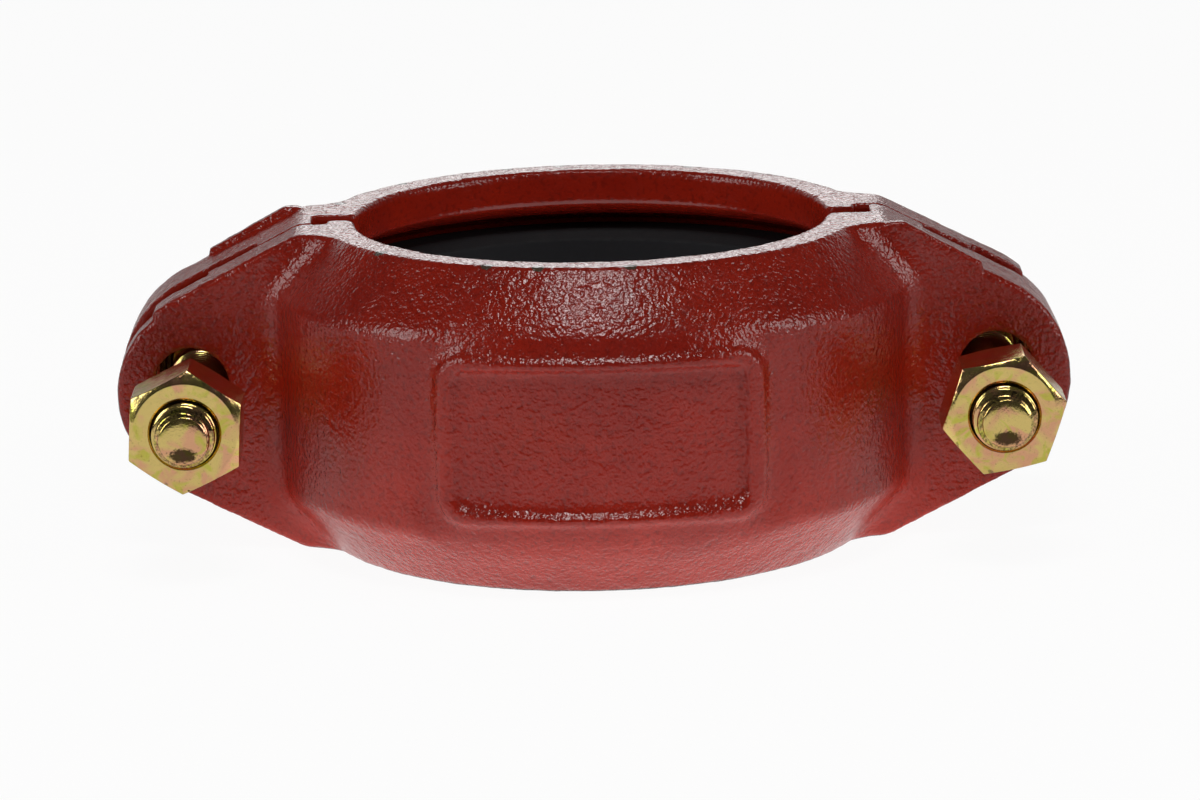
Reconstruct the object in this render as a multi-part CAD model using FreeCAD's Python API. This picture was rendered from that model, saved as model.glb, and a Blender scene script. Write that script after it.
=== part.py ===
import FreeCAD, Part
# Flexible grooved pipe coupling: two cast housing segments, a rubber gasket, two track bolts and nuts.
# The pipe axis is Z, and the origin is on it, half way between the two pipe ends. The coupling stands on
# its lower end face. The split between the segments is the XZ plane, the bolts lie along Y, and the nuts
# are on the -Y side, run on to the last threads, as the coupling is delivered.
import math
import os

V = FreeCAD.Vector
Z_AXIS = V(0, 0, 1)

# Pipe and keys: each key drops into the groove near the end of one pipe.
pipe_od = 76.1
key_bite = 0.85          # how far a key stands inside the pipe's own surface
key_land = 5.6           # width of a key's inner face along the pipe
key_edge_r = 1.0         # rounding of a key's two edges
width = 50.5             # end face to end face

# Gasket and the pocket that holds it.
gasket_height = 7.85     # from the pipe's surface to the gasket's back
gasket_gap = 0.3         # between the gasket and the pocket
gasket_half_width = 15.1
lip_bite = 0.55          # how far the free lips reach inside the pipe's own surface
lip_thickness = 1.5
lip_length = 8.6
gasket_back = 2.9        # rubber between the inner channel and the gasket's back
flank_side_gap = 0.7     # between the gasket's shoulder and the key's flank
shoulder_drop = 1.3      # from the gasket's back to its shoulder, along the radius
pocket_corner = 1.6      # bevel between the key's flank and the pocket's floor

# Drum: the ring-shaped body of a segment.
wall = 4.8               # behind the pocket
end_band = 5.4           # width of the flat end face
drum_half_height = 15.4  # half the height of the cylindrical band
drum_edge_r = 4.0
end_edge_r = 1.0         # rounding of the outer edges, on the drum and on the pads

# Bolt pads, one each side of the drum.
pad_face = 12.5          # outer face of a pad, from the split plane
pad_top = 3.4            # flat top of a pad, from the end face's edge to where the taper starts
bolt_out = 11.8          # drum to bolt axis
end_out = 12.2           # bolt axis to the end of the pad
pad_corner_r = 5.0       # rounding where the taper starts
end_r = 17.2             # radius of the round end
boss_r = 14.8            # radius of the smaller round end, on the recessed pad
boss_step = 6.1          # bolt axis to where the recessed pad's taper stops
blend_r = 6.0            # fillet between drum and pad face

# Mating faces: a tongue on one pad of a segment seats in the recess of the other segment's pad.
tongue_reach = 3.4       # tongue tip past the split plane, and the recess's floor before it
tongue_inset = 6.9       # tongue's inner side, inside the drum's radius
tongue_width = 8.7
tongue_side_gap = 2.3    # room in the recess inside the tongue
recess_stop = 2.3        # from the recess's outer step to the bolt axis
bore_gap_recessed = 1.0  # near the bore, split plane to the recessed pad's face
bore_gap_tongued = 3.0   # near the bore, split plane to the tongued pad's face
recessed_end_gap = 5.9   # recessed pad's end, from the split plane
mating_edge_r = 0.6
key_corner_r = 1.9       # rounding of a key's two ends, seen along the pipe

# Rib along the upper edge of the tongued pad's outer face.
rib_start = 0.4          # along the taper, from where it starts
rib_length = 16.6
rib_height = 1.4         # at the drum's end
rib_end_height = 0.9
rib_thickness = 2.2

# Raised border on the drum, round a bare field.
border_width = 50.4
border_height = 27.0
border_x = 0.9           # its middle, off the drum's
border_line = 3.0        # width of the line at its foot
border_draft = 0.9       # how far each flank leans in
border_relief = 1.1
border_corner_r = 4.6

# Bolts and nuts.
bolt_d = 10.0
bolt_length = 53.5       # under the head
head_d = 18.0
head_height = 7.0
neck_width = 10.2
neck_height = 13.2       # along the pipe
neck_length = 5.2
hole_width = 11.8
hole_height = 15.0       # along the pipe
hole_out = 0.4           # the hole's middle, outside the bolt's axis: the bolts rest against the drum's side
neck_gap = 0.05          # between the neck and the side of the hole that it rests on
tip_d = 7.4
tip_chamfer = 2.6
nut_flats = 17.0
nut_height = 11.0
nut_to_tip = 5.0         # how far the bolt stands out of the nut
nut_chamfer = 1.1        # depth of the corner chamfer
nut_land_d = 15.8        # flat ring on each face of the nut
nut_clearance = 0.05     # on the radius, between nut and bolt
countersink_d = 11.2
nut_turns = {"left": 86.0, "right": 71.0}   # degrees from +X to a corner, seen from the nut's side

# Worked out from the sizes above.
half = width / 2
pipe_r = pipe_od / 2
key_r = pipe_r - key_bite
lip_r = pipe_r - lip_bite
gasket_r = pipe_r + gasket_height
pocket_r = gasket_r + gasket_gap
drum_r = pocket_r + wall
end_face_r = key_r + end_band
shoulder_x = end_face_r + pad_top
bolt_x = drum_r + bolt_out
pad_end = bolt_x + end_out
tongue_in = drum_r - tongue_inset
tongue_out = tongue_in + tongue_width
recess_in = tongue_in - tongue_side_gap
recess_out = bolt_x - recess_stop
neck_drop = math.sqrt(((hole_width - neck_width) / 2 - neck_gap) ** 2 - hole_out ** 2)
bolt_z = -neck_drop - (hole_height - hole_width - neck_height + neck_width) / 2
tip_y = pad_face - bolt_length
nut_front = tip_y + nut_to_tip
nut_back = nut_front + nut_height
far = pad_end + drum_r                         # past everything, for cutting tools


def rounded_wire(corners, place):
    """Closed wire through (u, v, corner radius), laid in space by place(u, v)."""
    points = [V(u, v, 0) for u, v, r in corners]
    spans = []
    for i, (u, v, r) in enumerate(corners):
        here = points[i]
        back = (points[i - 1] - here).normalize()
        ahead = (points[(i + 1) % len(points)] - here).normalize()
        if r == 0:
            spans.append((here, None, here))
            continue
        half_angle = back.getAngle(ahead) / 2
        reach = r / math.tan(half_angle)
        middle = here + (back + ahead).normalize() * (r / math.sin(half_angle) - r)
        spans.append((here + back * reach, middle, here + ahead * reach))
    lay = lambda p: place(p.x, p.y)
    edges = []
    for i, (start, middle, end) in enumerate(spans):
        if middle is not None:
            edges.append(Part.Arc(lay(start), lay(middle), lay(end)).toShape())
        next_start = spans[(i + 1) % len(spans)][0]
        if (next_start - end).Length > 1e-6:
            edges.append(Part.makeLine(lay(end), lay(next_start)))
    return Part.Wire(edges)


def turned(corners):
    """Solid of revolution about Z from (radius, z, corner radius)."""
    face = Part.Face(rounded_wire(corners, lambda r, z: V(r, 0, z)))
    return face.revolve(V(0, 0, 0), Z_AXIS, 360)


def prism_y(corners, y_from, y_to):
    """Prism along Y from (x, z, corner radius)."""
    face = Part.Face(rounded_wire(corners, lambda x, z: V(x, y_from, z)))
    return face.extrude(V(0, y_to - y_from, 0))


def cylinder_y(radius, x, z, y_from, y_to):
    return Part.makeCylinder(radius, y_to - y_from, V(x, y_from, z), V(0, 1, 0))


def oval_y(oval_width, oval_height, x, z, y_from, y_to):
    """Upright oval prism along Y: two half rounds and the flat sides between them."""
    r = oval_width / 2
    rise = oval_height / 2 - r
    body = cylinder_y(r, x, z - rise, y_from, y_to).fuse(cylinder_y(r, x, z + rise, y_from, y_to))
    slab = Part.makeBox(oval_width, y_to - y_from, 2 * rise, V(x - r, y_from, z - rise))
    return body.fuse(slab).removeSplitter()


def mirrored_z(corners):
    """A profile's upper half followed by its mirror image below, for a closed outline."""
    return corners + [(u, -v, r) for u, v, r in reversed(corners)]


def taper_line():
    """Direction and outward normal of a pad's upper edge, and where it meets the round end."""
    centre = V(pad_end - end_r, 0, 0)
    start = V(shoulder_x, 0, half)
    to_centre = centre - start
    fall = math.atan2(-to_centre.z, to_centre.x) - math.asin(end_r / to_centre.Length)
    along = V(math.cos(fall), 0, -math.sin(fall))
    outward = V(math.sin(fall), 0, math.cos(fall))
    return start, along, outward, centre + outward * end_r


def drum():
    """The outside of the ring, solid to the axis."""
    return turned(mirrored_z([
        (0, half, 0),
        (end_face_r, half, 0),
        (drum_r, drum_half_height, drum_edge_r)]))


def core():
    """What the keys, the gasket pocket and the bore leave open."""
    shoulder_r = gasket_r - shoulder_drop
    shoulder_z = gasket_half_width + flank_side_gap
    return turned(mirrored_z([
        (0, half + 1, 0),
        (end_face_r - end_edge_r, half + 1, 0),
        (end_face_r - end_edge_r, half, 0),
        (key_r, half, key_edge_r),
        (key_r, half - key_land, key_edge_r),
        (shoulder_r, shoulder_z, 0.5),
        (pocket_r, shoulder_z - pocket_corner, 0.5)]))


def pad_plate(y_to):
    """A pad's outline on the +X side: flat top, taper and round end."""
    touch = taper_line()[3]
    web = prism_y(mirrored_z([(0, half, 0), (shoulder_x, half, pad_corner_r), (touch.x, touch.z, 0)]), -pad_face, y_to)
    return web.fuse(cylinder_y(end_r, pad_end - end_r, 0, -pad_face, y_to)).removeSplitter()


def tongued_pad():
    return pad_plate(tongue_reach)


def recessed_pad():
    """The -X pad: its taper stops at a small step, and its round end is smaller."""
    step_x = bolt_x + boss_step
    past = Part.makeBox(far, 2 * far, 2 * far, V(step_x, -far, -far))
    web = pad_plate(-bore_gap_recessed).cut(past)
    boss = cylinder_y(boss_r, pad_end - boss_r, 0, -pad_face, -bore_gap_recessed)
    return web.fuse(boss).removeSplitter().mirror(V(0, 0, 0), V(1, 0, 0))


def mating_cut():
    """What lies past a segment's mating faces, from the recessed end to the tongued end."""
    r = mating_edge_r
    outline = [
        (-far, far, 0),
        (-far, -recessed_end_gap, 0),
        (-recess_out, -recessed_end_gap, r),
        (-recess_out, -tongue_reach, r),
        (-recess_in, -tongue_reach, r),
        (-recess_in, -bore_gap_recessed, r),
        (0, -bore_gap_recessed, 0),
        (0, -bore_gap_tongued, 0),
        (tongue_in, -bore_gap_tongued, r),
        (tongue_in, tongue_reach, r),
        (tongue_out, tongue_reach, r),
        (tongue_out, 0, r),
        (far, 0, 0),
        (far, far, 0)]
    face = Part.Face(rounded_wire(outline, lambda x, y: V(x, y, -far)))
    return face.extrude(V(0, 0, 2 * far))


def key_corner(side, y_face):
    """What rounds a key's end where it meets a mating face, over the whole width."""
    y_centre = y_face - key_corner_r
    centre = V(side * math.sqrt((key_r + key_corner_r) ** 2 - y_centre ** 2), y_centre, 0)
    on_face = V(centre.x, y_face, 0)
    on_bore = centre * (key_r / (key_r + key_corner_r))
    middle = centre + ((on_face - centre) + (on_bore - centre)).normalize() * key_corner_r
    inside = side * (key_r - key_land)
    drop = V(0, 0, -far)
    outline = [on_bore, V(inside, on_bore.y, 0), V(inside, y_face + key_corner_r, 0),
               V(centre.x, y_face + key_corner_r, 0), on_face]
    edges = [Part.makeLine(a + drop, b + drop) for a, b in zip(outline, outline[1:])]
    edges.append(Part.Arc(on_face + drop, middle + drop, on_bore + drop).toShape())
    return Part.Face(Part.Wire(edges)).extrude(V(0, 0, 2 * far))


def rib():
    """The upstanding rib on the upper edge of the tongued pad."""
    start, along, outward, touch = taper_line()
    foot = start + along * rib_start
    end = foot + along * rib_length
    root = outward * rib_thickness
    crest = foot + (along + outward) * rib_height
    crest_end = end + (outward - along * 0.4) * rib_end_height
    corners = [(foot - root, 0), (foot, 0), (crest, 0.8), (crest_end, 0.6), (end, 0), (end - root, 0)]
    raw = prism_y([(p.x, p.z, r) for p, r in corners], -pad_face, -pad_face + rib_thickness)
    return raw.common(Part.makeBox(far, 2 * far, half, V(0, -far, 0)))


def drafted(inset, lean):
    """A block with the border's outline, drawn in by inset on the drum, whose sides lean in by lean."""
    depth = drum_r + border_relief - math.sqrt(drum_r ** 2 - (border_width / 2) ** 2)
    rings = []
    for y, shrink in ((-drum_r - border_relief, inset + lean), (depth - drum_r - border_relief, inset)):
        w, h = border_width / 2 - shrink, border_height / 2 - shrink
        r = border_corner_r - shrink
        outline = [(border_x - w, -h, r), (border_x - w, h, r), (border_x + w, h, r), (border_x + w, -h, r)]
        rings.append(rounded_wire(outline, lambda x, z, y=y: V(x, y, z)))
    return Part.makeLoft(rings, True, True)


def border():
    """The raised rounded frame on the front of the drum."""
    frame = drafted(0, border_draft).cut(drafted(border_line, -border_draft))
    shell = Part.makeCylinder(drum_r + border_relief, border_height + 2, V(0, 0, -border_height / 2 - 1))
    inside = Part.makeCylinder(drum_r - wall / 2, border_height + 4, V(0, 0, -border_height / 2 - 2))
    return frame.common(shell.cut(inside))


def on_pad_face(edge):
    box = edge.BoundBox
    return abs(box.YMin + pad_face) < 1e-4 and abs(box.YMax + pad_face) < 1e-4


def blended(body):
    """Fillets where the drum meets the pads' outer faces, then the outer edges rounded."""
    def seam(edge):
        centre = edge.CenterOfMass
        straight_or_bent = not edge.Curve.isDerivedFrom("Part::GeomCircle")
        return straight_or_bent and abs(centre.x) < drum_r + 0.1 and abs(centre.z) < half - 0.1

    body = body.makeFillet(blend_r, [e for e in body.Edges if on_pad_face(e) and seam(e)]).Solids[0]

    def outer(edge):
        centre, box = edge.CenterOfMass, edge.BoundBox
        if abs(abs(box.ZMin) - half) < 1e-3 and box.ZLength < 1e-3:
            return centre.y < -pad_face + 1e-3
        in_blend = abs(centre.x) < drum_r + blend_r and abs(centre.z) < drum_half_height + 8
        return on_pad_face(edge) and not in_blend

    return body.makeFillet(end_edge_r, [e for e in body.Edges if outer(e)])


def segment():
    """One housing segment, on the -Y side of the split."""
    front = Part.makeBox(2 * far, far, 2 * far, V(-far, -far, -far))
    body = drum().common(front)
    body = body.fuse([tongued_pad(), recessed_pad()]).removeSplitter()
    body = blended(body)
    body = body.fuse([border(), rib()])
    holes = [oval_y(hole_width, hole_height, side * (bolt_x + hole_out), 0, -far, far) for side in (-1, 1)]
    corners = [key_corner(-1, -bore_gap_recessed), key_corner(1, -bore_gap_tongued)]
    body = body.cut([mating_cut(), core()] + corners + holes).removeSplitter()
    return body.Solids[0]


def gasket():
    """The rubber ring: a C section, open to the pipe, with two sealing lips."""
    shoulder_r = gasket_r - shoulder_drop
    channel_r = gasket_r - gasket_back
    lip_in = gasket_half_width - lip_length
    return turned(mirrored_z([
        (gasket_r, gasket_half_width - pocket_corner, 0),
        (shoulder_r, gasket_half_width, 0),
        (lip_r + 2.2, gasket_half_width, 0.8),
        (lip_r, gasket_half_width - 1.6, 0.5),
        (lip_r + 0.2, lip_in, 0),
        (lip_r + 0.2 + lip_thickness, lip_in, 0),
        (channel_r - 1.0, gasket_half_width - 4.4, 0),
        (channel_r, gasket_half_width - 5.6, 0)]))


def bolt(side):
    """Track bolt: domed round head, oval neck that stops it turning, and a plain-ended shank."""
    x = side * bolt_x
    seat = pad_face
    dome_r = (head_d ** 2 / 4 + head_height ** 2) / (2 * head_height)
    skirt = 1.2
    cap = Part.makeSphere(dome_r, V(x, seat + head_height - dome_r, bolt_z))
    head = cylinder_y(head_d / 2, x, bolt_z, seat, seat + head_height + 1).common(cap)
    rim = cylinder_y(head_d / 2 - 0.35, x, bolt_z, seat, seat + skirt)
    neck = oval_y(neck_width, neck_height, x, bolt_z, seat - neck_length, seat)
    shank = cylinder_y(bolt_d / 2, x, bolt_z, tip_y + tip_chamfer, seat)
    tip = Part.makeCone(tip_d / 2, bolt_d / 2, tip_chamfer, V(x, tip_y, bolt_z), V(0, 1, 0))
    return head.fuse([rim, neck, shank, tip]).removeSplitter().Solids[0]


def nut(side, turn):
    """Hexagon nut with both faces chamfered and the bore countersunk."""
    x = side * bolt_x
    corner = nut_flats / 2 / math.cos(math.pi / 6)
    angles = [math.radians(turn + 60 * i) for i in range(6)]
    hexagon = prism_y([(x + corner * math.cos(a), bolt_z + corner * math.sin(a), 0) for a in angles],
                      nut_front, nut_back)
    spin = [(0, nut_front), (nut_land_d / 2, nut_front), (corner, nut_front + nut_chamfer),
            (corner, nut_back - nut_chamfer), (nut_land_d / 2, nut_back), (0, nut_back)]
    wire = Part.makePolygon([V(x + r, y, bolt_z) for r, y in spin + spin[:1]])
    blank = Part.Face(wire).revolve(V(x, 0, bolt_z), V(0, 1, 0), 360)
    bore_r = bolt_d / 2 + nut_clearance
    sink = countersink_d / 2 - bore_r
    bore = cylinder_y(bore_r, x, bolt_z, nut_front - 1, nut_back + 1)
    front = Part.makeCone(bore_r + sink, bore_r, sink, V(x, nut_front, bolt_z), V(0, 1, 0))
    back = Part.makeCone(bore_r, bore_r + sink, sink, V(x, nut_back - sink, bolt_z), V(0, 1, 0))
    return hexagon.common(blank).cut([bore, front, back]).removeSplitter().Solids[0]


def turned_half(shape):
    """The same casting, turned half a turn about the pipe."""
    back = shape.copy()
    back.rotate(V(0, 0, 0), Z_AXIS, 180)
    return back


def build():
    front = segment()
    return {
        "housing_front": front,
        "housing_back": turned_half(front),
        "gasket": gasket(),
        "bolt_left": bolt(-1),
        "bolt_right": bolt(1),
        "nut_left": nut(-1, nut_turns["left"]),
        "nut_right": nut(1, nut_turns["right"]),
    }


def main():
    os.makedirs("parts", exist_ok=True)
    for name, shape in build().items():
        print(f"{name}: solids {len(shape.Solids)}, valid {shape.isValid()}, volume {shape.Volume / 1000:.2f} cm3")
        shape.exportStep(f"parts/{name}.step")


main()
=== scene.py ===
import math

import bmesh
import bpy
import numpy as np
from mathutils import Matrix, Vector


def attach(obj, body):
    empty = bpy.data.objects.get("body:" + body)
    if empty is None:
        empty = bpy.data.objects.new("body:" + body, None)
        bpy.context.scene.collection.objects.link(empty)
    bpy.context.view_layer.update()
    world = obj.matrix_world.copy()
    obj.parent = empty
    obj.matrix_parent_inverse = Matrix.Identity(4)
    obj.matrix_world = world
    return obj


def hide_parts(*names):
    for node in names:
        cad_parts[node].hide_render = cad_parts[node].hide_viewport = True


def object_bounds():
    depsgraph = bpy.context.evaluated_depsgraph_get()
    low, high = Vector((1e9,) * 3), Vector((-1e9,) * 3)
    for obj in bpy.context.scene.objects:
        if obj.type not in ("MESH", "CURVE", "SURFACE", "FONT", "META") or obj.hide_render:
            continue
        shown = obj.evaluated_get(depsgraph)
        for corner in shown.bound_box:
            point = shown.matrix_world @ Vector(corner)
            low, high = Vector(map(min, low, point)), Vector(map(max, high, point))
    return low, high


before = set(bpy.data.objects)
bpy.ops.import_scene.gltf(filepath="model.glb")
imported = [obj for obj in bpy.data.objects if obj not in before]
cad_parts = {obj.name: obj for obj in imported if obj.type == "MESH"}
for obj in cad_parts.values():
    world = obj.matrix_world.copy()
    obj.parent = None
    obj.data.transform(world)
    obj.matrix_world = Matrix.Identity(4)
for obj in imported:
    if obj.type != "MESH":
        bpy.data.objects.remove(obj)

mm = 0.001
cadLow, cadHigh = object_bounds()
print("frame loaded")


# Linear RGBA of an sRGB hex colour.
def linear(colour):
    parts = [int(colour[i:i + 2], 16) / 255 for i in (1, 3, 5)]
    return [p / 12.92 if p <= 0.04045 else ((p + 0.055) / 1.055) ** 2.4 for p in parts] + [1.0]


# Adds a node; an input is a value or the socket that feeds it, by name or index.
def addNode(tree, kind, inputs=None, **settings):
    made = tree.nodes.new(kind)
    for name, value in settings.items():
        setattr(made, name, value)
    for name, value in (inputs or {}).items():
        if isinstance(value, bpy.types.NodeSocket):
            tree.links.new(value, made.inputs[name])
        else:
            made.inputs[name].default_value = value
    return made


# A material with only its Principled shader, whose height ends in one Bump.
def newMaterial(name):
    material = bpy.data.materials.new(name)
    material.use_nodes = True
    tree = material.node_tree
    tree.nodes.clear()
    shader = addNode(tree, "ShaderNodeBsdfPrincipled")
    addNode(tree, "ShaderNodeOutputMaterial", {"Surface": shader.outputs[0]})
    place = addNode(tree, "ShaderNodeTexCoord").outputs["Object"]
    return material, tree, shader, place


# Noise whose lumps are about size millimetres apart.
def noise(tree, place, size, detail=2.0, rough=0.5, distort=0.0):
    inputs = {"Vector": place, "Scale": 1 / (size * mm), "Detail": detail, "Roughness": rough,
              "Distortion": distort}
    return addNode(tree, "ShaderNodeTexNoise", inputs).outputs["Fac"]


def maths(tree, operation, *values):
    return addNode(tree, "ShaderNodeMath", dict(enumerate(values)), operation=operation).outputs[0]


# first + second * share
def addUp(tree, first, second, share=1.0):
    return maths(tree, "MULTIPLY_ADD", second, share, first)


def remap(tree, value, low, high, outLow, outHigh):
    inputs = {0: value, 1: low, 2: high, 3: outLow, 4: outHigh}
    return addNode(tree, "ShaderNodeMapRange", inputs, clamp=True).outputs[0]


# Mix of two colours, each a hex string or a socket.
def blendColours(tree, factor, first, second):
    a = linear(first) if isinstance(first, str) else first
    b = linear(second) if isinstance(second, str) else second
    return addNode(tree, "ShaderNodeMix", {0: factor, 6: a, 7: b}, data_type="RGBA").outputs[2]


def readMark(tree, name):
    return addNode(tree, "ShaderNodeAttribute", attribute_name=name).outputs["Fac"]


# Height from 0 to 1 as a relief of depth millimetres.
def bump(tree, shader, height, depth):
    made = addNode(tree, "ShaderNodeBump", {"Height": height, "Distance": depth * mm, "Strength": 1.0})
    tree.links.new(made.outputs[0], shader.inputs["Normal"])


# Alkyd enamel sprayed on a sand-cast iron surface: orange peel over sand grain, chipped on the rim.
paint = dict(grain=0.75, fineGrain=0.42, patch=14.0, sheen=3.0, depth=0.22, chipDepth=0.6, roughness=0.165,
             red="#861b0c", deepRed="#7a170b", pit="#55100a", chip="#47392d")


def redPaint():
    material, tree, shader, place = newMaterial("enamelOnSandCasting")
    patches = noise(tree, place, paint["patch"], 3)
    colour = blendColours(tree, remap(tree, patches, 0.35, 0.65, 0, 1), paint["red"], paint["deepRed"])
    grain = noise(tree, place, paint["grain"], 1.5)
    fine = noise(tree, place, paint["fineGrain"], 1)
    colour = blendColours(tree, remap(tree, grain, 0.32, 0.46, 0.4, 0), colour, paint["pit"])
    ragged = addUp(tree, readMark(tree, "chips"), fine, 0.5)  # a chip's edge follows the grain
    bare = remap(tree, ragged, 0.62, 0.68, 0, 1)
    colour = blendColours(tree, bare, colour, paint["chip"])
    tree.links.new(colour, shader.inputs["Base Color"])
    sheen = noise(tree, place, paint["sheen"])
    rough = remap(tree, sheen, 0.3, 0.7, paint["roughness"] - 0.04, paint["roughness"] + 0.06)
    tree.links.new(rough, shader.inputs["Roughness"])
    height = maths(tree, "MULTIPLY", addUp(tree, grain, fine, 0.3), readMark(tree, "free"))
    bump(tree, shader, addUp(tree, height, bare, -paint["chipDepth"]), paint["depth"])
    return material


# Yellow chromate over bright zinc: thin clear film whose tint drifts between gold, green and rose.
plating = dict(patch=3.5, fine=0.35, sheen=1.3, depth=0.02, roughness=0.15,
               gold="#e0c67a", rose="#e3a486", green="#c6c34c", speck="#84683a", shadeAndDarkening="#1f160c")


def zincChromate():
    material, tree, shader, place = newMaterial("yellowChromateOnZinc")
    warm = noise(tree, place, plating["patch"], 2, 0.5, 0.6)
    green = noise(tree, place, plating["patch"] * 0.8, 2, 0.5, 1.2)
    fine = noise(tree, place, plating["fine"], 2)
    colour = blendColours(tree, remap(tree, warm, 0.47, 0.62, 0, 0.8), plating["gold"], plating["rose"])
    colour = blendColours(tree, remap(tree, green, 0.53, 0.66, 0, 0.8), colour, plating["green"])
    colour = blendColours(tree, remap(tree, fine, 0.62, 0.75, 0, 0.45), colour, plating["speck"])
    # Painted shade in the nut bores, a painted dark reflection on the bolt tips and darker first threads,
    # all from one mark.
    darkened = remap(tree, addUp(tree, readMark(tree, "shadeAndDarkening"), fine, 0.8), 0.72, 1.0, 0, 0.9)
    colour = blendColours(tree, darkened, colour, plating["shadeAndDarkening"])
    tree.links.new(colour, shader.inputs["Base Color"])
    shader.inputs["Metallic"].default_value = 1.0
    sheen = noise(tree, place, plating["sheen"])
    rough = remap(tree, sheen, 0.3, 0.7, plating["roughness"] - 0.03, plating["roughness"] + 0.07)
    tree.links.new(rough, shader.inputs["Roughness"])
    bump(tree, shader, fine, plating["depth"])
    return material


# Moulded EPDM with the mould's fine turning lines round the bore and a breath of talc.
rubber = dict(line=0.55, dust=2.4, skin=0.5, depth=0.012, black="#0d0d10", talc="#17171b")


def gasketRubber():
    material, tree, shader, place = newMaterial("mouldedEpdm")
    axes = addNode(tree, "ShaderNodeSeparateXYZ", {0: place}).outputs
    flat = addNode(tree, "ShaderNodeCombineXYZ", {0: axes[0], 1: axes[1]}).outputs[0]
    radius = addNode(tree, "ShaderNodeVectorMath", {0: flat}, operation="LENGTH").outputs["Value"]
    turns = maths(tree, "MULTIPLY", addUp(tree, radius, axes[2]), 2 * math.pi / (rubber["line"] * mm))
    lines = maths(tree, "SINE", turns)
    dust = noise(tree, place, rubber["dust"], 4, 0.6)
    colour = blendColours(tree, remap(tree, dust, 0.5, 0.75, 0, 0.5), rubber["black"], rubber["talc"])
    tree.links.new(colour, shader.inputs["Base Color"])
    tree.links.new(remap(tree, dust, 0.3, 0.7, 0.6, 0.75), shader.inputs["Roughness"])
    shader.inputs["Specular IOR Level"].default_value = 0.3
    skin = noise(tree, place, rubber["skin"])
    bump(tree, shader, addUp(tree, skin, lines, 0.2), rubber["depth"])
    return material


redMaterial, zincMaterial, rubberMaterial = redPaint(), zincChromate(), gasketRubber()
print("materials made")


def newPiece(name, mesh, body, material, replaced):
    piece = bpy.data.objects.new(name, mesh)
    bpy.context.scene.collection.objects.link(piece)
    mesh.materials.clear()
    mesh.materials.append(material)
    mesh.polygons.foreach_set("use_smooth", [True] * len(mesh.polygons))
    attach(piece, body)
    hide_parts(replaced)
    print(name, len(mesh.polygons), "faces")
    return piece


# An object that only carries a mesh through its modifiers.
def newCarrier(name, mesh):
    carrier = bpy.data.objects.new(name + "Carrier", mesh)
    bpy.context.scene.collection.objects.link(carrier)
    return carrier


# The carrier's mesh with its modifiers applied, and the carrier gone.
def baked(carrier):
    seen = bpy.context.evaluated_depsgraph_get()
    mesh = bpy.data.meshes.new_from_object(carrier.evaluated_get(seen))
    bpy.data.objects.remove(carrier)
    return mesh


# A copy of a CAD node's mesh, and a bmesh of it with its loose triangles merged.
def mergedCopy(node):
    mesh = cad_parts[node].data.copy()
    made = bmesh.new()
    made.from_mesh(mesh)
    bmesh.ops.remove_doubles(made, verts=made.verts, dist=1e-6)
    return mesh, made


# Where the mesh's points lie, or which way they face, with one row for each point.
def pointRows(mesh, what="co"):
    rows = np.empty(len(mesh.vertices) * 3)
    mesh.vertices.foreach_get(what, rows)
    return rows.reshape(-1, 3)


def writeMark(mesh, name, values):
    mark = mesh.attributes.new(name, "FLOAT", "POINT")
    mark.data.foreach_set("value", values.astype(np.float32))


# Sets a node modifier's inputs by their names.
def setInputs(modifier, **values):
    for item in modifier.node_group.interface.items_tree:
        if item.item_type == "SOCKET" and item.in_out == "INPUT" and item.name in values:
            modifier[item.identifier] = values[item.name]


# Housing castings: the segment's solid as a fine even skin, softened and given the mould's waviness.
casting = dict(skin=0.56, firstEases=2, ease=0.5, wave=7.0, waveDepth=0.2, lump=2.4, lumpDepth=0.2)

# Faces whose relief differs from the outside's: mating seats, bore with its pocket, and bolt pads.
seats = dict(relief=0.15, facing=0.8, reach=6.5, fromRadius=37)
bore = dict(relief=0.4, radius=41.5, half=24.7, pocketRadius=47, pocketHalf=17)
pads = dict(relief=1.35, fromX=52)

# Paint chips on the end face's outer edge, by their turn round the pipe in degrees.
rimChips = dict(radius=42.1, z=25.2, reach=1.7, turns=(162, 137, 109, 97, 67, 220, 248, 259, 278))

# Raised border on the front: its middle, size and corner, and how far the drum sinks on both sides of it.
border = dict(x=0.9, width=50.4, height=27.0, corner=4.6, line=3.0, field=0.35, fieldEase=0.8,
              moat=0.35, moatFrom=-1.2, moatTo=2.0, reach=5.5, softIn=2.0, softOut=4.5, soften=18,
              inFrontOf=-30, drumFrom=48)


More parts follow.
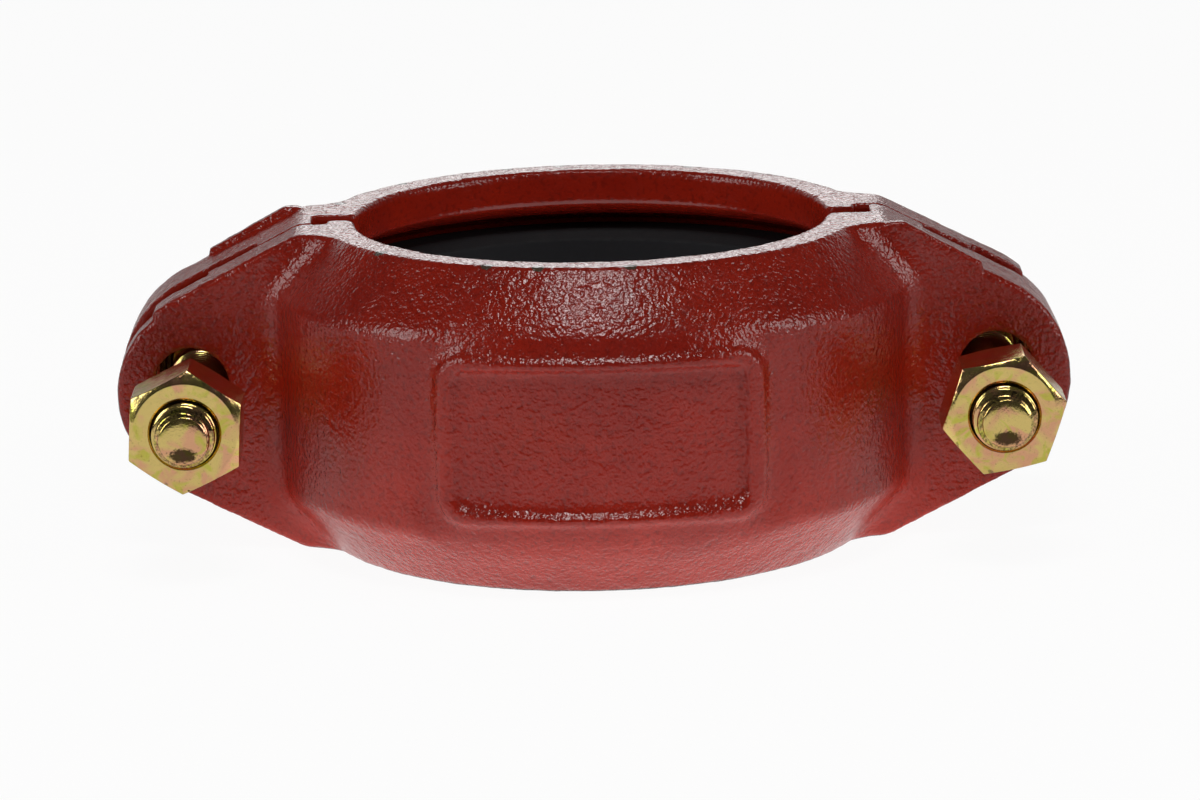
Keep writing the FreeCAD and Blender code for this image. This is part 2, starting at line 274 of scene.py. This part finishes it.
# Pushes each point along its normal by two sizes of noise, times how free its face is.
def castingTree():
    tree = bpy.data.node_groups.new("sandCastWaviness", "GeometryNodeTree")
    face = tree.interface
    face.new_socket("Geometry", in_out="INPUT", socket_type="NodeSocketGeometry")
    for name in ("waveSize", "waveDepth", "lumpSize", "lumpDepth"):
        face.new_socket(name, in_out="INPUT", socket_type="NodeSocketFloat")
    face.new_socket("Geometry", in_out="OUTPUT", socket_type="NodeSocketGeometry")
    source = addNode(tree, "NodeGroupInput").outputs
    place = addNode(tree, "GeometryNodeInputPosition").outputs[0]
    normal = addNode(tree, "GeometryNodeInputNormal").outputs[0]
    free = addNode(tree, "GeometryNodeInputNamedAttribute", {"Name": "free"}, data_type="FLOAT").outputs[0]
    parts = []
    for size, depth in (("waveSize", "waveDepth"), ("lumpSize", "lumpDepth")):
        scale = maths(tree, "DIVIDE", 1.0, source[size])
        field = addNode(tree, "ShaderNodeTexNoise", {"Vector": place, "Scale": scale, "Detail": 1.5})
        centred = maths(tree, "SUBTRACT", field.outputs["Fac"], 0.5)
        parts.append(maths(tree, "MULTIPLY", centred, source[depth]))
    held = maths(tree, "MULTIPLY", addUp(tree, *parts), free)
    push = addNode(tree, "ShaderNodeVectorMath", {0: normal, "Scale": held}, operation="SCALE").outputs[0]
    moved = addNode(tree, "GeometryNodeSetPosition", {"Geometry": source["Geometry"], "Offset": push})
    real = addNode(tree, "GeometryNodeRealizeInstances", {0: moved.outputs[0]})
    coat = addNode(tree, "GeometryNodeSetMaterial", {0: real.outputs[0], "Material": redMaterial})
    addNode(tree, "NodeGroupOutput", {0: coat.outputs[0]})
    return tree


# The solid's mesh as an even skin that lies on it, with edges eased by about one step of the skin.
def evenSkin(node, name):
    mesh, made = mergedCopy(node)
    made.to_mesh(mesh)
    made.free()
    carrier = newCarrier(name, mesh)
    pattern = newCarrier(name + "Pattern", mesh.copy())
    skin = carrier.modifiers.new("skin", "REMESH")
    skin.mode, skin.voxel_size, skin.use_smooth_shade = "VOXEL", casting["skin"] * mm, True
    soft = carrier.modifiers.new("soft", "SMOOTH")
    soft.factor, soft.iterations = 0.5, casting["firstEases"]
    close = carrier.modifiers.new("close", "SHRINKWRAP")
    close.target = pattern
    ease = carrier.modifiers.new("ease", "SMOOTH")
    ease.factor, ease.iterations = casting["ease"], 1
    mesh = baked(carrier)
    bpy.data.objects.remove(pattern)
    return mesh


# Writes how free each point is to be rough, and where the paint is chipped.
def markCasting(mesh, spots):
    facing = np.abs(pointRows(mesh, "normal")[:, 1])
    radius = np.hypot(spots[:, 0], spots[:, 1])
    fromX, fromSplit, fromMiddle = np.abs(spots).T
    onSeat = (facing > seats["facing"]) & (fromSplit < seats["reach"]) & (radius > seats["fromRadius"])
    inPocket = (radius < bore["pocketRadius"]) & (fromMiddle < bore["pocketHalf"])
    inBore = ((radius < bore["radius"]) | inPocket) & (fromMiddle < bore["half"])
    free = np.where(fromX > pads["fromX"], pads["relief"], 1.0)
    free = np.where(inBore, bore["relief"], free)
    writeMark(mesh, "free", np.where(onSeat, seats["relief"], free))
    chips = np.zeros(len(spots))
    for turn in rimChips["turns"]:
        angle = math.radians(turn)
        x, y = rimChips["radius"] * math.cos(angle), rimChips["radius"] * math.sin(angle)
        away = np.linalg.norm(spots - (x, y, rimChips["z"]), axis=1)
        chips = np.maximum(chips, 1 - away / rimChips["reach"])
    writeMark(mesh, "chips", chips)


def easeStep(value, low, high):
    share = np.clip((value - low) / (high - low), 0, 1)
    return share * share * (3 - 2 * share)


# Sinks the drum a little inside and outside the border, and softens the border's own edges.
def setOffBorder(carrier, spots):
    x, y, z = spots.T
    overX = np.abs(x - border["x"]) - border["width"] / 2 + border["corner"]
    overZ = np.abs(z) - border["height"] / 2 + border["corner"]
    pastCorner = np.hypot(np.maximum(overX, 0), np.maximum(overZ, 0))
    outside = pastCorner + np.minimum(np.maximum(overX, overZ), 0) - border["corner"]
    radius = np.hypot(x, y)
    front = (y < border["inFrontOf"]) & (radius > border["drumFrom"])
    line = border["line"]
    sink = border["field"] * easeStep(-outside, line - border["fieldEase"], line + border["fieldEase"])
    foot = easeStep(outside, border["moatFrom"], border["moatTo"])
    sink += border["moat"] * foot * (1 - easeStep(outside, border["moatTo"], border["reach"]))
    sink *= front
    spots[:, 0] -= sink * x / radius
    spots[:, 1] -= sink * y / radius
    carrier.data.vertices.foreach_set("co", (spots * mm).ravel())
    soft = carrier.vertex_groups.new(name="border")
    zones = ((-line - border["softIn"], -0.3, 0.5), (-0.3, border["softOut"], 1.0))  # from, to and weight
    for low, high, weight in zones:
        near = front & (outside > low) & (outside <= high)
        soft.add([int(i) for i in np.nonzero(near)[0]], weight, "REPLACE")
    blur = carrier.modifiers.new("blur", "SMOOTH")
    blur.factor, blur.iterations, blur.vertex_group = 0.5, border["soften"], soft.name


def castSkin(node, name, body):
    mesh = evenSkin(node, name)
    spots = pointRows(mesh) / mm
    markCasting(mesh, spots)
    carrier = newCarrier(name, mesh)
    if node == "housing_front":
        setOffBorder(carrier, spots)
    waves = carrier.modifiers.new("waves", "NODES")
    waves.node_group = castingTree()
    setInputs(waves, waveSize=casting["wave"] * mm, waveDepth=casting["waveDepth"] * mm,
              lumpSize=casting["lump"] * mm, lumpDepth=casting["lumpDepth"] * mm)
    return newPiece(name, baked(carrier), body, redMaterial, node)


castSkin("housing_front", "frontCasting", "front_half")
castSkin("housing_back", "backCasting", "back_half")


# Track bolts: domed head, oval neck, rolled thread, domed tip.
bolt = dict(x=62.8, z=-0.734, seat=12.5, tip=-41.0, radius=4.98, segments=48,
            pitch=1.5, depth=0.86, crest=0.14, root=0.84, threadEnd=4.0, rowsPerTurn=14,
            headRadius=9.0, headHeight=7.0, headRim=1.1, headSegments=72,
            neckWidth=10.2, neckHeight=13.2, neckLength=5.2,
            tipRadius=3.7, tipSlope=0.49, tipRise=0.4)

# Painted dark reflection on a bolt's tip, with its drop below the axis, and a darker band over the first
# threads.
tipMarks = dict(patchWidth=3.2, patchHeight=1.7, patchDrop=2.2, patch=1.3, threads=0.42, threadsTo=2.8)


# A rolled thread along -Y as one helical sheet; its rows follow the helix, so crests stay sharp.
def threadTree():
    tree = bpy.data.node_groups.new("rolledThread", "GeometryNodeTree")
    face = tree.interface
    for name in ("radius", "pitch", "depth", "start", "end", "tipRadius", "tipSlope"):
        face.new_socket(name, in_out="INPUT", socket_type="NodeSocketFloat")
    for name in ("segments", "rows"):
        face.new_socket(name, in_out="INPUT", socket_type="NodeSocketInt")
    face.new_socket("Geometry", in_out="OUTPUT", socket_type="NodeSocketGeometry")
    value = addNode(tree, "NodeGroupInput").outputs
    grid = addNode(tree, "GeometryNodeMeshGrid", {
        "Size X": 1.0, "Size Y": 1.0, "Vertices X": value["segments"], "Vertices Y": value["rows"]})
    place = addNode(tree, "GeometryNodeInputPosition").outputs[0]
    across = addNode(tree, "ShaderNodeSeparateXYZ", {0: place}).outputs

    def work(operation, *values):
        return maths(tree, operation, *values)

    turn = work("ADD", across[0], 0.5)
    share = work("ADD", across[1], 0.5)
    length = work("SUBTRACT", value["end"], value["start"])
    run = work("MULTIPLY", share, work("ADD", length, work("MULTIPLY", value["pitch"], 2.0)))
    first = work("SUBTRACT", value["start"], value["pitch"])
    along = work("ADD", first, work("ADD", run, work("MULTIPLY", turn, value["pitch"])))
    y = work("MINIMUM", work("MAXIMUM", along, value["start"]), value["end"])
    phase = work("FRACT", work("DIVIDE", run, value["pitch"]))
    ridge = work("MULTIPLY", work("ABSOLUTE", work("SUBTRACT", phase, 0.5)), 2.0)
    flank = addNode(tree, "ShaderNodeMapRange", {0: ridge, 1: bolt["crest"], 2: bolt["root"]},
                    interpolation_type="SMOOTHSTEP").outputs[0]
    fromTip = work("SUBTRACT", y, value["start"])
    taper = work("ADD", value["tipRadius"], work("MULTIPLY", fromTip, value["tipSlope"]))
    fadeIn = work("MINIMUM", work("DIVIDE", fromTip, work("MULTIPLY", value["pitch"], 0.6)), 1.0)
    cut = work("MULTIPLY", work("MULTIPLY", flank, value["depth"]), fadeIn)
    radius = work("SUBTRACT", work("MINIMUM", value["radius"], taper), cut)
    angle = work("MULTIPLY", turn, 2 * math.pi)
    x = work("MULTIPLY", radius, work("COSINE", angle))
    z = work("MULTIPLY", radius, work("SINE", angle))
    spot = addNode(tree, "ShaderNodeCombineXYZ", {0: x, 1: y, 2: z}).outputs[0]
    moved = addNode(tree, "GeometryNodeSetPosition", {"Geometry": grid.outputs[0], "Position": spot})
    merged = addNode(tree, "GeometryNodeMergeByDistance", {"Geometry": moved.outputs[0], "Distance": 1e-6})
    real = addNode(tree, "GeometryNodeRealizeInstances", {0: merged.outputs[0]})
    coat = addNode(tree, "GeometryNodeSetMaterial", {0: real.outputs[0], "Material": zincMaterial})
    addNode(tree, "NodeGroupOutput", {0: coat.outputs[0]})
    return tree


def threadMesh():
    carrier = newCarrier("thread", bpy.data.meshes.new("thread"))
    thread = carrier.modifiers.new("thread", "NODES")
    thread.node_group = threadTree()
    start = bolt["tip"] + bolt["tipRise"]
    rows = round(((bolt["threadEnd"] - start) / bolt["pitch"] + 2) * bolt["rowsPerTurn"]) + 1
    setInputs(thread, radius=bolt["radius"] * mm, pitch=bolt["pitch"] * mm, depth=bolt["depth"] * mm,
              start=start * mm, end=bolt["threadEnd"] * mm, tipRadius=bolt["tipRadius"] * mm,
              tipSlope=bolt["tipSlope"], segments=bolt["segments"] + 1, rows=rows)
    return baked(carrier)


# Adds a solid of revolution about Y from (radius, y) points; a radius of 0 closes a pole.
def lathe(made, profile, segments):
    turns = [2 * math.pi * i / segments for i in range(segments)]
    rings = []
    for r, y in profile:
        if r == 0:
            rings.append([made.verts.new((0, y * mm, 0))] * segments)
        else:
            spots = [(r * mm * math.cos(t), y * mm, r * mm * math.sin(t)) for t in turns]
            rings.append([made.verts.new(spot) for spot in spots])
    for low, high in zip(rings, rings[1:]):
        for i in range(segments):
            j = (i + 1) % segments
            corners = []
            for v in (low[i], low[j], high[j], high[i]):
                if v not in corners:
                    corners.append(v)
            made.faces.new(corners)


def ovalLoop(made, width, height, y, steps=16):
    r = width / 2
    rise = height / 2 - r
    points = []
    for centre, first in ((rise, 0), (-rise, 180)):
        for step in range(steps + 1):
            t = math.radians(first + step * 180 / steps)
            points.append(made.verts.new((r * math.cos(t) * mm, y * mm, (centre + r * math.sin(t)) * mm)))
    return points


# The oval neck under the head, from its eased inner end to the seat.
def addNeck(made, seat):
    end = seat - bolt["neckLength"]
    steps = ((0.8, end), (0, end + 0.5), (0, seat + 0.01))  # how much narrower, and where
    loops = [ovalLoop(made, bolt["neckWidth"] - inset, bolt["neckHeight"] - inset, y) for inset, y in steps]
    for low, high in zip(loops, loops[1:]):
        for i in range(len(low)):
            j = (i + 1) % len(low)
            made.faces.new((low[i], low[j], high[j], high[i]))
    made.faces.new(loops[0])
    made.faces.new(loops[-1])


# Writes the mark of painted shade, painted reflection and darkening from a rule on x, y and z in
# millimetres.
def writeShadeAndDarkening(mesh, rule):
    x, y, z = (pointRows(mesh) / mm).T
    writeMark(mesh, "shadeAndDarkening", np.clip(rule(x, y, z), 0, 1))


def trackBolt(name, side, node):
    made = bmesh.new()
    made.from_mesh(threadMesh())
    tip, seat, top, rim = bolt["tip"], bolt["seat"], bolt["headHeight"], bolt["headRim"]
    dome = [(0, tip)]
    for t in (math.pi / 2 * i / 6 for i in range(1, 7)):
        dome.append((bolt["tipRadius"] * math.sin(t), tip + bolt["tipRise"] * (1 - math.cos(t))))
    lathe(made, dome, bolt["segments"])
    shank = [(bolt["radius"], bolt["threadEnd"]), (bolt["radius"], seat - 0.1)]
    lathe(made, [(0, bolt["threadEnd"])] + shank + [(0, seat - 0.1)], bolt["segments"])
    r = bolt["headRadius"]
    head = [(0, seat), (r - 0.5, seat), (r - 0.1, seat + 0.15), (r, seat + 0.6), (r, seat + rim)]
    for t in (math.pi / 2 * i / 12 for i in range(1, 12)):
        head.append((r * math.cos(t), seat + rim + (top - rim) * math.sin(t)))
    lathe(made, head + [(0, seat + top)], bolt["headSegments"])
    addNeck(made, seat)
    bmesh.ops.remove_doubles(made, verts=made.verts, dist=1e-7)
    bmesh.ops.translate(made, verts=made.verts, vec=(side * bolt["x"] * mm, 0, bolt["z"] * mm))
    bmesh.ops.recalc_face_normals(made, faces=made.faces)
    mesh = bpy.data.meshes.new(name)
    made.to_mesh(mesh)
    made.free()
    piece = newPiece(name, mesh, "back_half", zincMaterial, node)

    def tipReflectionAndDarkening(x, y, z):
        fromX = (x - side * bolt["x"]) / tipMarks["patchWidth"]
        fromZ = (z - bolt["z"] + tipMarks["patchDrop"]) / tipMarks["patchHeight"]
        # Painted dark reflection: a patch on the tip's face below its middle.
        darkReflection = tipMarks["patch"] * (y < tip + 0.5) * (1 - np.hypot(fromX, fromZ))
        return np.maximum(darkReflection, tipMarks["threads"] * ((y > tip + 0.3) & (y < tip + tipMarks["threadsTo"])))

    writeShadeAndDarkening(mesh, tipReflectionAndDarkening)
    mesh.set_sharp_from_angle(angle=math.radians(40))
    return piece


trackBolt("leftTrackBolt", -1, "bolt_left")
trackBolt("rightTrackBolt", 1, "bolt_right")


# Heavy hex nuts: forged and tapped, their edges eased by tumbling, with painted shade in the bore.
nut = dict(easing=0.14, sharp=18.0, boreRadius=5.45, shadeAndDarkening=0.8)


def hexNut(name, side, node, body):
    mesh, made = mergedCopy(node)
    bmesh.ops.dissolve_limit(made, angle_limit=math.radians(0.5), verts=made.verts, edges=made.edges)
    turn = math.radians(nut["sharp"])
    edges = [e for e in made.edges if len(e.link_faces) == 2 and e.calc_face_angle() > turn]
    bmesh.ops.bevel(made, geom=edges, offset=nut["easing"] * mm, segments=2, profile=0.5, affect="EDGES")
    bmesh.ops.triangulate(made, faces=made.faces)
    made.to_mesh(mesh)
    made.free()
    mesh.polygons.foreach_set("use_smooth", [True] * len(mesh.polygons))
    mesh.set_sharp_from_angle(angle=math.radians(40))
    carrier = newCarrier(name, mesh)
    weighted = carrier.modifiers.new("weighted", "WEIGHTED_NORMAL")
    weighted.keep_sharp = True
    mesh = baked(carrier)

    # Painted shade inside the nut's bore.
    def boreShade(x, y, z):
        return nut["shadeAndDarkening"] * (np.hypot(x - side * bolt["x"], z - bolt["z"]) < nut["boreRadius"])

    writeShadeAndDarkening(mesh, boreShade)
    return newPiece(name, mesh, body, zincMaterial, node)


hexNut("leftNut", -1, "nut_left", "left_nut")
hexNut("rightNut", 1, "nut_right", "right_nut")

# The gasket is the CAD node itself, with the rubber in its slots.
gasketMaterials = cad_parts["gasket"].data.materials
if not gasketMaterials:
    gasketMaterials.append(rubberMaterial)
for index in range(len(gasketMaterials)):
    gasketMaterials[index] = rubberMaterial
print("pieces made")


# What the camera sees straight or through glass.
def seenStraight(tree, path):
    return maths(tree, "MAXIMUM", path["Is Camera Ray"], path["Is Transmission Ray"])


# Floor: pale matt sheet that shows as white, with the part's shadow kept on it.
# Mirrored in the part it is white up to nearFrom metres from the middle and far times that past nearTo.
sheet = dict(size=3.0, drop=0.02, colour="#f4f3f2", white=0.94, nearFrom=0.055, nearTo=0.09, far=0.25,
             widen=1.35)


def floorMaterial():
    material = bpy.data.materials.new("paleMattSheet")
    material.use_nodes = True
    tree = material.node_tree
    tree.nodes.clear()
    path = addNode(tree, "ShaderNodeLightPath").outputs
    place = addNode(tree, "ShaderNodeTexCoord").outputs["Object"]
    wide = addNode(tree, "ShaderNodeVectorMath", {0: place, 1: (sheet["widen"], 1, 1)}, operation="MULTIPLY")
    away = addNode(tree, "ShaderNodeVectorMath", {0: wide.outputs[0]}, operation="LENGTH").outputs["Value"]
    near = remap(tree, away, sheet["nearFrom"], sheet["nearTo"], 1.0, sheet["far"])
    mirrored = maths(tree, "MULTIPLY", path["Is Glossy Ray"], near)
    share = addUp(tree, mirrored, seenStraight(tree, path), sheet["white"])
    matt = addNode(tree, "ShaderNodeBsdfDiffuse", {"Color": linear(sheet["colour"])})
    white = addNode(tree, "ShaderNodeEmission", {"Color": (1, 1, 1, 1), "Strength": 1.0})
    mixed = addNode(tree, "ShaderNodeMixShader", {0: share, 1: matt.outputs[0], 2: white.outputs[0]})
    addNode(tree, "ShaderNodeOutputMaterial", {"Surface": mixed.outputs[0]})
    return material


floorMesh = bpy.data.meshes.new("floor")
half, floorLevel = sheet["size"], cadLow.z - sheet["drop"] * mm
corners = [(x * half, y * half, floorLevel) for x, y in ((-1, -1), (1, -1), (1, 1), (-1, 1))]
floorMesh.from_pydata(corners, [], [(0, 1, 2, 3)])
floorMesh.materials.append(floorMaterial())
floor = bpy.data.objects.new("floor", floorMesh)
bpy.context.scene.collection.objects.link(floor)

# Softboxes: stand, aim, width and height in metres, power in watts, and whether the part mirrors them.
lamps = dict(
    leftBox=((-1.0, -0.35, 0.45), (0, 0, 0), 0.5, 0.6, 3.8, True),
    rightBox=((1.0, -0.35, 0.45), (0, 0, 0), 0.5, 0.6, 3.8, True),
    topBox=((0, -0.42, 1.05), (0, 0, 0), 0.42, 0.26, 4.1, True),
    backBox=((0, 1.35, 0.42), (0, 0, 0), 0.5, 0.4, 1.7, True),
    frontFill=((0, -1.2, 0.62), (0, 0, 0), 1.0, 0.7, 1.2, False),
    floorGlow=((0, -0.03, floorLevel + 0.2 * mm), (0, -0.03, 1), 0.13, 0.13, 0.08, False))


def softbox(name, stand, aim, width, height, power, mirrored):
    lamp = bpy.data.lights.new(name, "AREA")
    lamp.shape, lamp.size, lamp.size_y, lamp.energy = "RECTANGLE", width, height, power
    holder = bpy.data.objects.new(name, lamp)
    bpy.context.scene.collection.objects.link(holder)
    holder.location = stand
    holder.rotation_euler = (Vector(aim) - Vector(stand)).to_track_quat("-Z", "Y").to_euler()
    if not mirrored:
        holder.visible_camera = False
        holder.visible_glossy = False


for name, values in lamps.items():
    softbox(name, *values)

# Room: white to the camera; in the part's surfaces a bright band low behind it and a dim rest.
room = dict(behindFrom=0.6, behindTo=0.85, topFrom=0.3, topTo=0.45, top=0.1,
            footFrom=0.11, footTo=0.18, foot=0.15, band=0.9, rest=0.045)
world = bpy.data.worlds.new("studio")
bpy.context.scene.world = world
world.use_nodes = True
tree = world.node_tree
tree.nodes.clear()
path = addNode(tree, "ShaderNodeLightPath").outputs
heading = addNode(tree, "ShaderNodeTexCoord").outputs["Generated"]
ray = addNode(tree, "ShaderNodeSeparateXYZ", {0: heading}).outputs
behind = remap(tree, ray[1], room["behindFrom"], room["behindTo"], 0.0, 1.0)
lowDown = remap(tree, ray[2], room["topFrom"], room["topTo"], 1.0, room["top"])
aboveTable = remap(tree, ray[2], room["footFrom"], room["footTo"], room["foot"], 1.0)
backdrop = maths(tree, "MULTIPLY", maths(tree, "MULTIPLY", behind, lowDown), aboveTable)
strength = maths(tree, "MULTIPLY_ADD", backdrop, room["band"], room["rest"])
shown = maths(tree, "MAXIMUM", seenStraight(tree, path), strength)
back = addNode(tree, "ShaderNodeBackground", {"Color": (1, 1, 1, 1), "Strength": shown})
addNode(tree, "ShaderNodeOutputWorld", {"Surface": back.outputs[0]})

# Camera: fitted to the photograph's circles and edges, in millimetres, degrees and picture points.
view = dict(distance=890.0, elevation=13.03, focal=5580.0, frameWidth=1200, aimX=0.9, aimZ=-5.05, roll=-1.23)
tilt, roll = math.radians(view["elevation"]), math.radians(view["roll"])
forward = Vector((0, math.cos(tilt), -math.sin(tilt)))
level = Vector((1, 0, 0))
upright = level.cross(forward)
across = level * math.cos(roll) + upright * math.sin(roll)
up = upright * math.cos(roll) - level * math.sin(roll)
stand = (Vector((view["aimX"], 0, view["aimZ"])) - forward * view["distance"]) * mm
camera = bpy.data.cameras.new("camera")
camera.sensor_width = 36
camera.lens = view["focal"] * camera.sensor_width / view["frameWidth"]
holder = bpy.data.objects.new("camera", camera)
bpy.context.scene.collection.objects.link(holder)
holder.matrix_world = Matrix((
    (across.x, up.x, -forward.x, stand.x),
    (across.y, up.y, -forward.y, stand.y),
    (across.z, up.z, -forward.z, stand.z),
    (0, 0, 0, 1)))
bpy.context.scene.camera = holder
bpy.context.scene.view_settings.view_transform = "Standard"
print("stage set")
